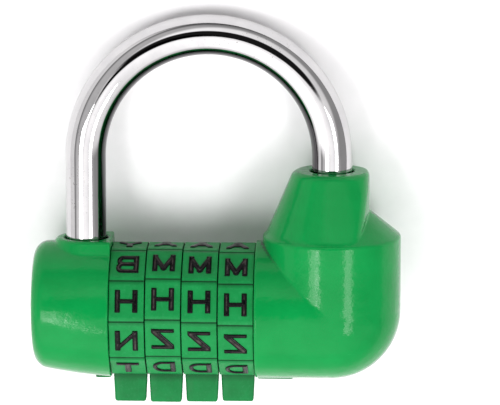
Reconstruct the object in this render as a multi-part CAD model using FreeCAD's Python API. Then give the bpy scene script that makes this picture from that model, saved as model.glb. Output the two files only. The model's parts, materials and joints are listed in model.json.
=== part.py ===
import FreeCAD, Part

import math
import os

# Combination padlock for luggage.  Four letter dials turn on a fixed tube between a tall
# housing, which carries the shackle's heel, and an end cap, which takes its toe.
#
# Everything is modelled about the dial axis, which runs along X at Z = 0, in millimetres:
# +X points to the heel leg, -Y to the side where the letters are read, +Z up the shackle.
# Each piece is moved down by CROWN_HEIGHT as it is written, so the finished origin is the
# inside of the arch's crown, the point that the padlock hangs from.
#
# Angles about the dial axis start at the front (-Y) and rise towards the top (+Z).

# Shackle
ROD_R = 3.5
ARCH_R = 21.4
CROWN_HEIGHT = 44.9
ARCH_Z = CROWN_HEIGHT + ROD_R - ARCH_R
X_TOE = -ARCH_R
X_HEEL = ARCH_R
TOE_TIP_Z = -3.5
TOE_CHAMFER = 0.8
NOTCH_R = 1.9
NOTCH_DEPTH = 2.4
HEEL_FOOT_Z = -9.0
HEEL_FOOT_TOP_Z = -6.0
HEEL_WAIST_TOP_Z = 13.8
HEEL_WAIST_R = 2.2
LEG_BORE_R = 3.8
LEG_BORE_END_GAP = 0.3

# Dial stack
X_STACK_LEFT = -16.9
X_STACK_RIGHT = 8.2
DIAL_COUNT = 4
DIAL_PITCH = (X_STACK_RIGHT - X_STACK_LEFT) / DIAL_COUNT
DIAL_WIDTH = 6.1
DIAL_FACES = 10
FACE_STEP = 360.0 / DIAL_FACES
DIAL_CORNER_R = 11.8
DIAL_FLAT_R = DIAL_CORNER_R * math.cos(math.radians(FACE_STEP / 2))
DIAL_BORE_R = 8.6
DIAL_SIDE_CHAMFER = 0.22
CORNER_GROOVE_R = 0.24
TAB_END_R = 16.6
TAB_THICKNESS = 2.2
TAB_END_WIDTH = 5.5
TAB_CORNER = 0.5
TAB_EDGE = 0.3

# Letters: centre lines of the strokes fill a box of this half-size, on the dial's flats
LETTER_HALF = 1.6
LETTER_STROKE = 1.1
LETTER_BAR = 0.76
LETTER_HEIGHT = 0.25

# Housing and end cap
BODY_R = 12.0
RIDGE_Z = 13.3
ROOF_TOP_R = 6.2
ROOF_TOP_Z = 18.0
NECK_TOP_Z = 24.7
NECK_TOP_R = 6.75
NECK_BASE_R = 11.6
NECK_SIDE_R = 30.0
NECK_SIDE_X = 6.5
NECK_RIM = 0.7
CAP_END_X = -30.8
CAP_END_R = 10.75
CAP_END_RISE = 0.7
CAP_END_ROUND = 1.9
COLLAR_TOP_Z = 12.65
COLLAR_TOP_R = 5.2
COLLAR_BASE_Z = 9.0
COLLAR_BASE_R = 6.5
COLLAR_EDGE = 0.45
BORE_MOUTH_CHAMFER = 0.3
INDEX_BAR_PROUD = 0.45
INDEX_BAR_WIDTH = 1.4
HOUSING_INDEX_LENGTH = 6.2
CAP_INDEX_LENGTH = 3.0

# Fixed tube and the pins that hold it
TUBE_R = 5.0
TUBE_BORE_R = 2.5
TUBE_LEFT_X = -28.3
TUBE_RIGHT_X = 14.0
TUBE_SEAT_GAP = 0.02
TUBE_END_GAP = 0.1
FIN_SLOT_WIDTH = 2.0
PIN_GAP = 0.01
TUBE_PIN_R = 0.8
TUBE_PIN_X = 11.2
CAP_PIN_X = -26.8
TUBE_PIN_Z = -3.9
TUBE_PIN_FRONT_Y = -4.0
TUBE_PIN_BACK_Y = 10.7
CAP_PIN_BACK_Y = 9.2
HEEL_PIN_R = 1.0
HEEL_PIN_OFFSET = 3.4
HEEL_PIN_Z = 12.3
HEEL_PIN_FRONT_Y = -5.0
HEEL_PIN_BACK_Y = 10.9

# Spindle, at rest with its nose drawn back clear of the toe leg
SPINDLE_R = 2.4
SPINDLE_TIP_X = -17.5
SPINDLE_NOSE_R = 1.6
SPINDLE_NOSE_LENGTH = 3.0
SPINDLE_NOSE_CHAMFER = 0.6
SPINDLE_RIGHT_X = 11.9
SPRING_SPIGOT_R = 1.4
SPRING_SPIGOT_LENGTH = 1.5
SPINDLE_TRAVEL = 2.4
FIN_R = 7.0
FIN_WIDTH = 1.6
FIN_THICKNESS = 1.0
FIN_REST_OFFSET = SPINDLE_TRAVEL / 2

# Spring behind the spindle, and the pocket it pushes on
SPRING_WIRE_R = 0.25
SPRING_R = 1.95
SPRING_TURNS = 4.5
SPRING_RIGHT_X = 16.3
POCKET_RIGHT_X = 16.4
POCKET_R = 2.5

# Gate rings
RING_R = 8.58
RING_WIDTH = 5.5
RING_RECESS_R = 7.3
RING_FLANGE_R = 5.08
RING_FLANGE_WIDTH = 1.0
GATE_WIDTH = 2.2
KEY_WIDTH = 1.6
KEY_HEIGHT = 0.7
KEY_GAP = 0.05
DETENT_R = 0.75
DETENT_CENTRE_R = 4.95

# Click springs, in pockets under the tube
CLICK_POCKET_LENGTH = 4.8
CLICK_POCKET_WIDTH = 1.4
CLICK_POCKET_TOP_Z = -3.4
CLICK_LENGTH = 4.4
CLICK_WIDTH = 1.0
CLICK_THICKNESS = 0.2
CLICK_BASE_Z = -3.65
CLICK_CREST_Z = -5.3
CLICK_FOOT = 1.0

# Thrust washers, let into the faces each side of the stack
WASHER_R = 8.2
WASHER_BORE_R = 5.1
WASHER_THICKNESS = 0.3
WASHER_GAP = 0.02

X_AXIS = FreeCAD.Vector(1, 0, 0)
Y_AXIS = FreeCAD.Vector(0, 1, 0)
Z_AXIS = FreeCAD.Vector(0, 0, 1)


def point(x, y, z):
    return FreeCAD.Vector(x, y, z)


def rod_x(x0, x1, radius):
    """Cylinder on the dial axis."""
    return Part.makeCylinder(radius, x1 - x0, point(x0, 0, 0), X_AXIS)


def rod_y(x, z, y0, y1, radius):
    return Part.makeCylinder(radius, y1 - y0, point(x, y0, z), Y_AXIS)


def rod_z(x, z0, z1, radius):
    return Part.makeCylinder(radius, z1 - z0, point(x, 0, z0), Z_AXIS)


def taper_z(x, z0, z1, radius0, radius1):
    return Part.makeCone(radius0, radius1, z1 - z0, point(x, 0, z0), Z_AXIS)


def block(x0, x1, y0, y1, z0, z1):
    return Part.makeBox(x1 - x0, y1 - y0, z1 - z0, point(x0, y0, z0))


def turned(shape, degrees):
    """Copy of a shape turned about the dial axis, upwards at the front."""
    copy = shape.copy()
    copy.rotate(point(0, 0, 0), X_AXIS, -degrees)
    return copy


def fused(shapes):
    return shapes[0].fuse(shapes[1:]).removeSplitter()


def edges_where(shape, test):
    return [edge for edge in shape.Edges if test(edge.BoundBox)]


def flat_at(low, high, value):
    """True where a box's side from low to high lies in the plane at value."""
    return abs(low - value) < 1e-4 and abs(high - value) < 1e-4


def rounded_top(shape, top_z, radius):
    """Shape with the edges of its flat top rounded."""
    rim = edges_where(shape, lambda b: flat_at(b.ZMin, b.ZMax, top_z))
    return shape.makeFillet(radius, rim)


# ---------------------------------------------------------------- shackle

def shackle():
    section = Part.Face(Part.Wire(Part.makeCircle(ROD_R, point(X_HEEL, 0, ARCH_Z), Z_AXIS)))
    arch = section.revolve(point(0, 0, ARCH_Z), Y_AXIS, -180)
    toe = rod_z(X_TOE, TOE_TIP_Z, ARCH_Z, ROD_R)
    toe = toe.makeChamfer(TOE_CHAMFER, edges_where(toe, lambda b: flat_at(b.ZMin, b.ZMax, TOE_TIP_Z)))
    heel_leg = rod_z(X_HEEL, HEEL_WAIST_TOP_Z, ARCH_Z, ROD_R)
    heel_waist = rod_z(X_HEEL, HEEL_FOOT_TOP_Z, HEEL_WAIST_TOP_Z, HEEL_WAIST_R)
    heel_foot = rod_z(X_HEEL, HEEL_FOOT_Z, HEEL_FOOT_TOP_Z, ROD_R)
    notch_inner_x = X_TOE + ROD_R - NOTCH_DEPTH
    notch = rod_x(notch_inner_x, X_TOE + 2 * ROD_R, NOTCH_R)
    return fused([arch, toe, heel_leg, heel_waist, heel_foot]).cut(notch)


# ---------------------------------------------------------------- housing

def leg_bore(x, bottom_z, top_z):
    """Bore for a leg of the shackle, with a chamfered mouth."""
    bore = rod_z(x, bottom_z, top_z, LEG_BORE_R)
    mouth = taper_z(x, top_z - BORE_MOUTH_CHAMFER, top_z, LEG_BORE_R, LEG_BORE_R + BORE_MOUTH_CHAMFER)
    return bore.fuse(mouth)


def washer_seat(x_face, direction):
    x_inner = x_face + direction * WASHER_THICKNESS
    return rod_x(min(x_face, x_inner), max(x_face, x_inner), WASHER_R + WASHER_GAP)


def tube_seat(x0, x1):
    return rod_x(x0, x1, TUBE_R + TUBE_SEAT_GAP)


def neck():
    """Tall taper round the heel leg, pared almost upright on its outer side."""
    taper = taper_z(X_HEEL, RIDGE_Z, NECK_TOP_Z, NECK_BASE_R, NECK_TOP_R)
    side = rod_z(X_HEEL + NECK_SIDE_X - NECK_SIDE_R, RIDGE_Z, NECK_TOP_Z, NECK_SIDE_R)
    return rounded_top(taper, NECK_TOP_Z, NECK_RIM).common(rounded_top(side, NECK_TOP_Z, NECK_RIM))


def housing_index_bar():
    """Raised mark under the barrel, in line with the dials' tabs."""
    x0 = X_STACK_RIGHT + 0.3
    x1 = x0 + HOUSING_INDEX_LENGTH
    low_z = -BODY_R - INDEX_BAR_PROUD
    outline = Part.makePolygon([
        point(x0, 0, low_z),
        point(x1 - INDEX_BAR_PROUD, 0, low_z),
        point(x1, 0, -BODY_R + INDEX_BAR_PROUD),
        point(x0, 0, -BODY_R + INDEX_BAR_PROUD),
        point(x0, 0, low_z),
    ])
    bar = Part.Face(outline).extrude(point(0, INDEX_BAR_WIDTH, 0))
    bar.translate(point(0, -INDEX_BAR_WIDTH / 2, 0))
    return bar


def housing():
    barrel = rod_x(X_STACK_RIGHT, X_HEEL, BODY_R)
    elbow = Part.makeSphere(BODY_R, point(X_HEEL, 0, 0))
    upright = rod_z(X_HEEL, 0, RIDGE_Z, BODY_R)
    roof = taper_z(X_HEEL, RIDGE_Z, ROOF_TOP_Z, BODY_R, ROOF_TOP_R)
    outside = fused([barrel, elbow, upright, roof, neck(), housing_index_bar()])
    cuts = [
        leg_bore(X_HEEL, HEEL_FOOT_Z - LEG_BORE_END_GAP, NECK_TOP_Z),
        tube_seat(X_STACK_RIGHT, TUBE_RIGHT_X + TUBE_END_GAP),
        rod_x(TUBE_RIGHT_X, POCKET_RIGHT_X, POCKET_R),
        washer_seat(X_STACK_RIGHT, 1),
        rod_y(TUBE_PIN_X, TUBE_PIN_Z, TUBE_PIN_FRONT_Y, BODY_R, TUBE_PIN_R + PIN_GAP),
        rod_y(X_HEEL + HEEL_PIN_OFFSET, HEEL_PIN_Z, HEEL_PIN_FRONT_Y, BODY_R, HEEL_PIN_R + PIN_GAP),
    ]
    return outside.cut(cuts)


# ---------------------------------------------------------------- end cap

def collar():
    """Flat-topped boss round the toe leg, wider at its base: round on its left, square
    against the dials."""
    round_end = taper_z(X_TOE, COLLAR_BASE_Z, COLLAR_TOP_Z, COLLAR_BASE_R, COLLAR_TOP_R)
    outline = Part.makePolygon([
        point(X_TOE, -COLLAR_BASE_R, COLLAR_BASE_Z),
        point(X_TOE, COLLAR_BASE_R, COLLAR_BASE_Z),
        point(X_TOE, COLLAR_TOP_R, COLLAR_TOP_Z),
        point(X_TOE, -COLLAR_TOP_R, COLLAR_TOP_Z),
        point(X_TOE, -COLLAR_BASE_R, COLLAR_BASE_Z),
    ])
    straight = Part.Face(outline).extrude(point(X_STACK_LEFT - X_TOE, 0, 0))
    reach = block(X_TOE - COLLAR_BASE_R, X_STACK_LEFT, -COLLAR_BASE_R, COLLAR_BASE_R,
                  COLLAR_BASE_Z, COLLAR_TOP_Z)
    boss = fused([round_end, straight]).common(reach)
    root = block(X_TOE, X_STACK_LEFT, -COLLAR_TOP_R, COLLAR_TOP_R, 0, COLLAR_BASE_Z)
    return fused([rounded_top(boss, COLLAR_TOP_Z, COLLAR_EDGE), root])


def cap_shell():
    """Barrel end that keeps its top level and rises underneath towards the flat end."""
    at_dials = Part.Wire(Part.makeCircle(BODY_R, point(X_STACK_LEFT, 0, 0), X_AXIS))
    at_end = Part.Wire(Part.makeCircle(CAP_END_R, point(CAP_END_X, 0, CAP_END_RISE), X_AXIS))
    shell = Part.makeLoft([at_end, at_dials], True, True)
    end_edge = edges_where(shell, lambda b: flat_at(b.XMin, b.XMax, CAP_END_X))
    return shell.makeFillet(CAP_END_ROUND, end_edge)


def cap_index_bar():
    x0 = X_STACK_LEFT - CAP_INDEX_LENGTH
    low_z = -BODY_R - INDEX_BAR_PROUD
    half = INDEX_BAR_WIDTH / 2
    return block(x0, X_STACK_LEFT - 0.3, -half, half, low_z, -BODY_R + 2 * INDEX_BAR_PROUD)


def end_cap():
    outside = fused([cap_shell(), collar(), cap_index_bar()])
    cuts = [
        leg_bore(X_TOE, TOE_TIP_Z - 2 * LEG_BORE_END_GAP, COLLAR_TOP_Z),
        tube_seat(TUBE_LEFT_X - TUBE_END_GAP, X_STACK_LEFT),
        washer_seat(X_STACK_LEFT, -1),
        rod_y(CAP_PIN_X, TUBE_PIN_Z, TUBE_PIN_FRONT_Y, BODY_R, TUBE_PIN_R + PIN_GAP),
    ]
    return outside.cut(cuts)


# ---------------------------------------------------------------- tube, pins, washers

def dial_left_x(number):
    gap = (DIAL_PITCH - DIAL_WIDTH) / 2
    return X_STACK_LEFT + (number - 1) * DIAL_PITCH + gap


def dial_centre_x(number):
    return dial_left_x(number) + DIAL_WIDTH / 2


def click_pocket(number):
    half_length = CLICK_POCKET_LENGTH / 2
    half_width = CLICK_POCKET_WIDTH / 2
    centre = dial_centre_x(number)
    return block(centre - half_length, centre + half_length, -half_width, half_width,
                 -TUBE_R, CLICK_POCKET_TOP_Z)


def core_tube():
    tube = rod_x(TUBE_LEFT_X, TUBE_RIGHT_X, TUBE_R)
    fin_slot_left_x = dial_centre_x(1) - SPINDLE_TRAVEL
    half_slot = FIN_SLOT_WIDTH / 2
    cuts = [
        rod_x(TUBE_LEFT_X, TUBE_RIGHT_X, TUBE_BORE_R),
        block(fin_slot_left_x, TUBE_RIGHT_X, -half_slot, half_slot, 0, TUBE_R),
        rod_z(X_TOE, TOE_TIP_Z - 2 * LEG_BORE_END_GAP, TUBE_R, LEG_BORE_R),
        rod_y(TUBE_PIN_X, TUBE_PIN_Z, -TUBE_R, TUBE_R, TUBE_PIN_R + PIN_GAP),
        rod_y(CAP_PIN_X, TUBE_PIN_Z, -TUBE_R, TUBE_R, TUBE_PIN_R + PIN_GAP),
    ]
    cuts += [click_pocket(number) for number in range(1, DIAL_COUNT + 1)]
    return tube.cut(cuts)


def tube_pin():
    return rod_y(TUBE_PIN_X, TUBE_PIN_Z, TUBE_PIN_FRONT_Y, TUBE_PIN_BACK_Y, TUBE_PIN_R)


def cap_pin():
    return rod_y(CAP_PIN_X, TUBE_PIN_Z, TUBE_PIN_FRONT_Y, CAP_PIN_BACK_Y, TUBE_PIN_R)


def heel_pin():
    return rod_y(X_HEEL + HEEL_PIN_OFFSET, HEEL_PIN_Z, HEEL_PIN_FRONT_Y, HEEL_PIN_BACK_Y, HEEL_PIN_R)


def thrust_washer(x_face, direction):
    x_inner = x_face + direction * (WASHER_THICKNESS - WASHER_GAP)
    x0 = min(x_face, x_inner)
    x1 = max(x_face, x_inner)
    return rod_x(x0, x1, WASHER_R).cut(rod_x(x0, x1, WASHER_BORE_R))


# ---------------------------------------------------------------- spindle and springs

def fin(number):
    """Flat fin that stands up through the tube's slot, just right of its gate."""
    centre = dial_centre_x(number) + FIN_REST_OFFSET
    half = FIN_THICKNESS / 2
    plate = block(centre - half, centre + half, -FIN_WIDTH / 2, FIN_WIDTH / 2, 0, FIN_R)
    return plate.common(rod_x(centre - half, centre + half, FIN_R))


def spindle():
    shoulder_x = SPINDLE_TIP_X + SPINDLE_NOSE_LENGTH
    nose = rod_x(SPINDLE_TIP_X, shoulder_x, SPINDLE_NOSE_R)
    tip_edge = edges_where(nose, lambda b: flat_at(b.XMin, b.XMax, SPINDLE_TIP_X))
    nose = nose.makeChamfer(SPINDLE_NOSE_CHAMFER, tip_edge)
    barrel = rod_x(shoulder_x, SPINDLE_RIGHT_X, SPINDLE_R)
    spigot = rod_x(SPINDLE_RIGHT_X, SPINDLE_RIGHT_X + SPRING_SPIGOT_LENGTH, SPRING_SPIGOT_R)
    fins = [fin(number) for number in range(1, DIAL_COUNT + 1)]
    return fused([nose, barrel, spigot] + fins)


def spindle_spring():
    x0 = SPINDLE_RIGHT_X + 2 * SPRING_WIRE_R
    x1 = SPRING_RIGHT_X - SPRING_WIRE_R
    pitch = (x1 - x0) / SPRING_TURNS
    helix = Part.makeHelix(pitch, x1 - x0, SPRING_R)
    start = helix.Edges[0].valueAt(helix.Edges[0].FirstParameter)
    tangent = helix.Edges[0].tangentAt(helix.Edges[0].FirstParameter)
    section = Part.Wire(Part.makeCircle(SPRING_WIRE_R, start, tangent))
    coil = Part.Wire(helix.Edges).makePipeShell([section], True, True)
    coil.rotate(point(0, 0, 0), Y_AXIS, 90)
    coil.translate(point(x0, 0, 0))
    return coil


def click_spring(number):
    """Bent leaf whose crest rests in a groove of the gate ring."""
    half = CLICK_LENGTH / 2
    knee = half - CLICK_FOOT
    left_foot = Part.makeLine(point(-half, CLICK_BASE_Z, 0), point(-knee, CLICK_BASE_Z, 0))
    crest = Part.Arc(point(-knee, CLICK_BASE_Z, 0), point(0, CLICK_CREST_Z, 0),
                     point(knee, CLICK_BASE_Z, 0)).toShape()
    right_foot = Part.makeLine(point(knee, CLICK_BASE_Z, 0), point(half, CLICK_BASE_Z, 0))
    line = Part.Wire([left_foot, crest, right_foot])
    outline = line.makeOffset2D(CLICK_THICKNESS / 2, 0, False, False)
    leaf = Part.Face(outline).extrude(point(0, 0, CLICK_WIDTH))
    leaf.rotate(point(0, 0, 0), X_AXIS, 90)
    leaf.translate(point(dial_centre_x(number), CLICK_WIDTH / 2, 0))
    return leaf


# ---------------------------------------------------------------- gate rings and dials

def gate_ring(number):
    centre = dial_centre_x(number)
    x0 = centre - RING_WIDTH / 2
    x1 = centre + RING_WIDTH / 2
    flange_left = centre - RING_FLANGE_WIDTH / 2
    flange_right = centre + RING_FLANGE_WIDTH / 2
    key = block(x0, x1, -RING_R - KEY_HEIGHT, 0, -KEY_WIDTH / 2, KEY_WIDTH / 2)
    body = rod_x(x0, x1, RING_R).fuse(key)
    groove = Part.makeCylinder(DETENT_R, RING_FLANGE_WIDTH, point(flange_left, 0, -DETENT_CENTRE_R), X_AXIS)
    cuts = [
        rod_x(x0, flange_left, RING_RECESS_R),
        rod_x(flange_right, x1, RING_RECESS_R),
        rod_x(flange_left, flange_right, RING_FLANGE_R),
        block(flange_left, flange_right, -GATE_WIDTH / 2, GATE_WIDTH / 2, 0, RING_RECESS_R),
    ]
    cuts += [turned(groove, place * FACE_STEP) for place in range(DIAL_FACES)]
    return body.cut(cuts)


def on_outline(angle, radius):
    """Point of the dial's outline, seen along the axis."""
    a = math.radians(angle)
    return point(0, -radius * math.cos(a), radius * math.sin(a))


def dial_blank():
    """Ten-sided ring with lightly chamfered sides, starting at X = 0."""
    corners = [on_outline(place * FACE_STEP, DIAL_CORNER_R) for place in range(DIAL_FACES)]
    outline = Part.makePolygon(corners + corners[:1])
    prism = Part.Face(outline).extrude(point(DIAL_WIDTH, 0, 0))
    sides = edges_where(prism, lambda b: b.XLength < 1e-4)
    return prism.makeChamfer(DIAL_SIDE_CHAMFER, sides)


def thumb_tab():
    """Flat paddle under the dial, a little narrower at its free end."""
    root_z = -DIAL_FLAT_R + 1.0
    margin = (DIAL_WIDTH - TAB_END_WIDTH) / 2
    outline = Part.makePolygon([
        point(DIAL_SIDE_CHAMFER, 0, root_z),
        point(DIAL_SIDE_CHAMFER, 0, -DIAL_FLAT_R),
        point(margin, 0, -TAB_END_R),
        point(DIAL_WIDTH - margin, 0, -TAB_END_R),
        point(DIAL_WIDTH - DIAL_SIDE_CHAMFER, 0, -DIAL_FLAT_R),
        point(DIAL_WIDTH - DIAL_SIDE_CHAMFER, 0, root_z),
        point(DIAL_SIDE_CHAMFER, 0, root_z),
    ])
    paddle = Part.Face(outline).extrude(point(0, TAB_THICKNESS, 0))
    paddle.translate(point(0, -TAB_THICKNESS / 2, 0))
    low_corners = edges_where(paddle, lambda b: b.ZMax < -TAB_END_R + 1e-4 and b.XLength < 1e-4)
    paddle = paddle.makeFillet(TAB_CORNER, low_corners)
    rim = edges_where(paddle, lambda b: b.ZMin < -DIAL_FLAT_R - 1e-4 and b.YLength < 1e-4)
    return paddle.makeFillet(TAB_EDGE, rim)


def dial(number):
    groove = Part.makeCylinder(CORNER_GROOVE_R, DIAL_WIDTH, on_outline(0, DIAL_CORNER_R), X_AXIS)
    grooves = [turned(groove, place * FACE_STEP) for place in range(DIAL_FACES)]
    key_half = KEY_WIDTH / 2 + KEY_GAP
    keyway = block(0, DIAL_WIDTH, -DIAL_BORE_R - KEY_HEIGHT, 0, -key_half, key_half)
    body = dial_blank().cut(grooves).fuse(thumb_tab())
    body = body.cut([rod_x(0, DIAL_WIDTH, DIAL_BORE_R), keyway]).removeSplitter()
    body.translate(point(dial_left_x(number), 0, 0))
    return body


# ---------------------------------------------------------------- letters

# A letter is a list of strokes.  A stroke is its width and its points (right, up) in a box
# from -1 to 1; a third number on a point is the bulge of a half-round arc that leads to it.
# The letters on the dials read from right to left, as a mirror shows them.
def bar(*points):
    return (LETTER_BAR, points)


def stem(*points):
    return (LETTER_STROKE, points)


LETTERS = {
    "A": [stem((-1, -1), (0, 1)), stem((0, 1), (1, -1)), bar((-0.6, -0.3), (0.6, -0.3))],
    "B": [stem((-1, -1), (-1, 1)), bar((-1, 1), (0.4, 1), (0.4, 0.05, 0.475), (-1, 0.05)),
          bar((-1, 0.05), (0.45, 0.05), (0.45, -1, 0.525), (-1, -1))],
    "D": [stem((-1, -1), (-1, 1)), bar((-1, 1), (0.0, 1), (0.0, -1, 1.0), (-1, -1))],
    "E": [stem((-1, -1), (-1, 1)), bar((-1, 1), (1, 1)), bar((-1, 0), (0.6, 0)), bar((-1, -1), (1, -1))],
    "F": [stem((-1, -1), (-1, 1)), bar((-1, 1), (1, 1)), bar((-1, 0), (0.6, 0))],
    "H": [stem((-1, -1), (-1, 1)), stem((1, -1), (1, 1)), bar((-1, 0), (1, 0))],
    "K": [stem((-1, -1), (-1, 1)), stem((1, 1), (-1, -0.2)), stem((-0.3, 0.2), (1, -1))],
    "L": [stem((-1, 1), (-1, -1)), stem((-1, -1), (1, -1))],
    "M": [stem((-1, -1), (-1, 1)), bar((-1, 1), (0, -0.9)), bar((0, -0.9), (1, 1)), stem((1, 1), (1, -1))],
    "N": [stem((-1, -1), (-1, 1)), bar((-1, 1), (1, -1)), stem((1, -1), (1, 1))],
    "T": [stem((-1, 1), (1, 1)), stem((0, 1), (0, -1))],
    "V": [stem((-1, 1), (0, -1)), stem((0, -1), (1, 1))],
    "X": [stem((-1, -1), (1, 1)), stem((-1, 1), (1, -1))],
    "Y": [stem((-1, 1), (0, 0)), stem((1, 1), (0, 0)), stem((0, 0), (0, -1))],
    "Z": [bar((-1, 1), (1, 1)), stem((1, 1), (-1, -1)), bar((-1, -1), (1, -1))],
}

# Letters of each dial, face by face, going down from the top face, past the front and the
# tab at the bottom (a dash) and up the back.
DIAL_LETTERS = ["YBHNT-KELF", "AMHZD-VXKE", "AMHZD-LEVF", "AMHZD-XFKL"]
TOP_FACE_ANGLE = 90.0


def straight_outline(start, end, width):
    """Straight slot shape with round ends, in the plane Z = 0."""
    along = (end - start).normalize() * (width / 2)
    across = Z_AXIS.cross(along)
    return Part.Wire([
        Part.makeLine(start + across, end + across),
        Part.Arc(end + across, end + along, end - across).toShape(),
        Part.makeLine(end - across, start - across),
        Part.Arc(start - across, start - along, start + across).toShape(),
    ])


def bent_outline(width, points):
    """Slot shape round a bent path, with round ends, in the plane Z = 0."""
    edges = []
    previous = points[0]
    for target in points[1:]:
        start = point(LETTER_HALF * previous[0], LETTER_HALF * previous[1], 0)
        end = point(LETTER_HALF * target[0], LETTER_HALF * target[1], 0)
        if len(target) == 3:
            middle = (start + end) * 0.5 + point(LETTER_HALF * target[2], 0, 0)
            edges.append(Part.Arc(start, middle, end).toShape())
        else:
            edges.append(Part.makeLine(start, end))
        previous = target
    return Part.Wire(edges).makeOffset2D(width / 2, 0, False, False)


def stroke_solid(width, points):
    """Raised bar with round ends along a stroke's path, standing on the plane Z = 0."""
    if len(points) == 2:
        ends = [point(LETTER_HALF * right, LETTER_HALF * up, 0) for right, up in points]
        outline = straight_outline(ends[0], ends[1], width)
    else:
        outline = bent_outline(width, points)
    return Part.Face(outline).extrude(point(0, 0, LETTER_HEIGHT))


def letter(name):
    """Letter standing on the front of a dial, mirrored, with its foot towards -Z."""
    strokes = [stroke_solid(width, points) for width, points in LETTERS[name]]
    glyph = fused(strokes) if len(strokes) > 1 else strokes[0]
    glyph = glyph.mirror(point(0, 0, 0), X_AXIS)
    glyph.rotate(point(0, 0, 0), X_AXIS, 90)
    glyph.translate(point(0, -DIAL_FLAT_R, 0))
    return glyph


def dial_letters(number):
    glyphs = []
    for place, name in enumerate(DIAL_LETTERS[number - 1]):
        if name != "-":
            glyphs.append(turned(letter(name), TOP_FACE_ANGLE - place * FACE_STEP))
    ring = Part.makeCompound(glyphs)
    ring.translate(point(dial_centre_x(number), 0, 0))
    return ring


# ---------------------------------------------------------------- all pieces

def pieces():
    yield "housing", housing()
    yield "end_cap", end_cap()
    yield "shackle", shackle()
    yield "core_tube", core_tube()
    yield "heel_pin", heel_pin()
    yield "tube_pin", tube_pin()
    yield "cap_pin", cap_pin()
    yield "thrust_washer_left", thrust_washer(X_STACK_LEFT, -1)
    yield "thrust_washer_right", thrust_washer(X_STACK_RIGHT, 1)
    yield "spindle", spindle()
    yield "spindle_spring", spindle_spring()
    for number in range(1, DIAL_COUNT + 1):
        yield f"dial_{number}", dial(number)
        yield f"dial_{number}_letters", dial_letters(number)
        yield f"gate_ring_{number}", gate_ring(number)
        yield f"click_spring_{number}", click_spring(number)


os.makedirs("parts", exist_ok=True)
for node, shape in pieces():
    shape.translate(point(0, 0, -CROWN_HEIGHT))
    shape.exportStep(f"parts/{node}.step")
    print(node, "valid" if shape.isValid() else "NOT VALID", len(shape.Solids), round(shape.Volume, 2))
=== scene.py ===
import json
import math

import bmesh
import bpy
import numpy as np
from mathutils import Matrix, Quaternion, Vector


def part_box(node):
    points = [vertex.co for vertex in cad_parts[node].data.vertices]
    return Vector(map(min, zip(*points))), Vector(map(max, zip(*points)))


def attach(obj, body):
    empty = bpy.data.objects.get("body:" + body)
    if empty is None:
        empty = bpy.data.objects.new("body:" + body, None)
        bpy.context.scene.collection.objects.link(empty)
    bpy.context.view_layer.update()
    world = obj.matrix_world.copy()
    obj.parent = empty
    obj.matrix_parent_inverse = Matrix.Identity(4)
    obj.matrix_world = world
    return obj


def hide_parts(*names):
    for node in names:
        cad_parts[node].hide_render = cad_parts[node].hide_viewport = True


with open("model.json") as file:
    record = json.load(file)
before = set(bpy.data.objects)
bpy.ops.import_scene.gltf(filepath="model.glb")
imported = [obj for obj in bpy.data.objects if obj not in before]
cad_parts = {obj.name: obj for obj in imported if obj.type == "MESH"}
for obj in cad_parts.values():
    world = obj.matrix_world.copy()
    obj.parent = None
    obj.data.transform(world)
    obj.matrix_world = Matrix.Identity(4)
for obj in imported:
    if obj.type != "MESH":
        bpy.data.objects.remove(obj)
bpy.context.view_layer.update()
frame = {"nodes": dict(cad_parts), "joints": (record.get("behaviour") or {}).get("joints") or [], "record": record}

MM = 0.001


# ---------------------------------------------------------------- sizes from the frame, in mm
# The detailed meshes are worked out about the dial axis: X along it, Z up, origin on the axis.

def joint(name):
    return next(j for j in frame["joints"] if j["name"] == name)


AXIS = Vector(joint("dial_1_turn")["pos_m"])


def box_mm(node):
    """A CAD node's lowest and highest corners in mm, measured from the dial axis."""
    low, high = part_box(node)
    return (low - AXIS) / MM, (high - AXIS) / MM


DIAL_NUMBERS = (1, 2, 3, 4)
HOUSING_LOW, HOUSING_HIGH = box_mm("housing")
CAP_LOW, CAP_HIGH = box_mm("end_cap")
SHACKLE_LOW, SHACKLE_HIGH = box_mm("shackle")
DIAL_LOW, DIAL_HIGH = box_mm("dial_1")
TUBE_LOW, TUBE_HIGH = box_mm("core_tube")
WASHER_LOW, WASHER_HIGH = box_mm("thrust_washer_right")

ROD_R = SHACKLE_HIGH.y
ARCH_R = SHACKLE_HIGH.x - ROD_R
ARCH_Z = SHACKLE_HIGH.z - ROD_R - ARCH_R
X_TOE = -ARCH_R
X_HEEL = ARCH_R
HEEL_FOOT_Z = SHACKLE_LOW.z
BODY_R = HOUSING_HIGH.y
X_STACK_LEFT = CAP_HIGH.x
X_STACK_RIGHT = HOUSING_LOW.x
NECK_TOP_Z = HOUSING_HIGH.z
COLLAR_TOP_Z = CAP_HIGH.z
TUBE_R = TUBE_HIGH.y
SEAT_PLAY = 0.02
WASHER_SEAT_R = WASHER_HIGH.y + SEAT_PLAY
WASHER_SEAT_DEPTH = WASHER_HIGH.x - WASHER_LOW.x
DIAL_WIDTH = DIAL_HIGH.x - DIAL_LOW.x
TAB_END_Z = DIAL_LOW.z

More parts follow.
